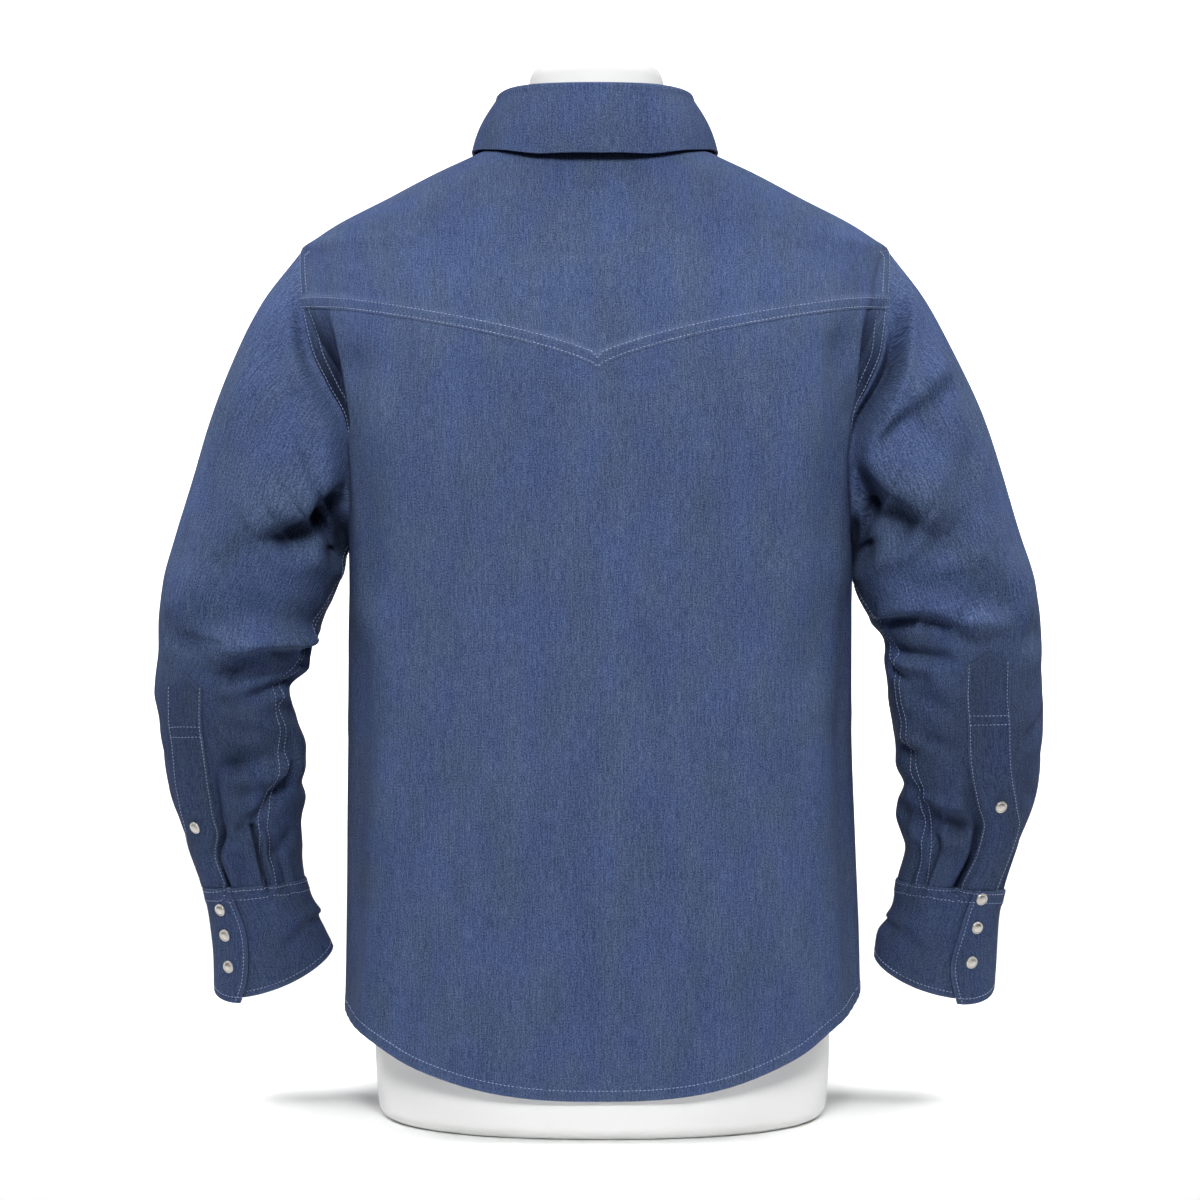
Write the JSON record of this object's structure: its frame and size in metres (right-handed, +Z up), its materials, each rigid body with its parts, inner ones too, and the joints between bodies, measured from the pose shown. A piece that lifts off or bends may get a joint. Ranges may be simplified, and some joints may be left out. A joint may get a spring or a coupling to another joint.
{
  "type": "denim shirt on a dress form",
  "caption": "Long-sleeved denim snap shirt with a pointed back yoke and curved tails, worn by a smooth limbless dress form.",
  "frame": {"origin": "centre of the dress form's flat base, on the surface that it stands on", "axes": "+Z up; the shirt's front faces -Y; +X towards the wearer's left arm"},
  "size_m": [0.7109, 0.2512, 0.835],
  "materials": {
    "denim": "matt woven cotton denim, slubby, indigo warp with a pale weft",
    "snap_metal": "satin metal snap caps",
    "form_plastic": "smooth white matt moulded plastic"
  },
  "bodies": {
    "root": {"back": "denim", "yoke": "denim", "front_left": "denim", "front_right": "denim", "front_placket": "denim", "collar_stand": "denim", "collar": "denim", "sleeve_left": "denim", "sleeve_right": "denim", "cuff_left": "denim", "cuff_right": "denim", "sleeve_placket_left": "denim", "sleeve_placket_right": "denim", "snap_front_1": "snap_metal", "snap_front_2": "snap_metal", "snap_front_3": "snap_metal", "snap_front_4": "snap_metal", "snap_front_5": "snap_metal", "snap_front_6": "snap_metal", "snap_stand": "snap_metal", "snap_placket_left": "snap_metal", "snap_placket_right": "snap_metal", "snap_cuff_left_1": "snap_metal", "snap_cuff_left_2": "snap_metal", "snap_cuff_left_3": "snap_metal", "snap_cuff_right_1": "snap_metal", "snap_cuff_right_2": "snap_metal", "snap_cuff_right_3": "snap_metal", "dress_form": "form_plastic"}
  },
  "joints": []
}
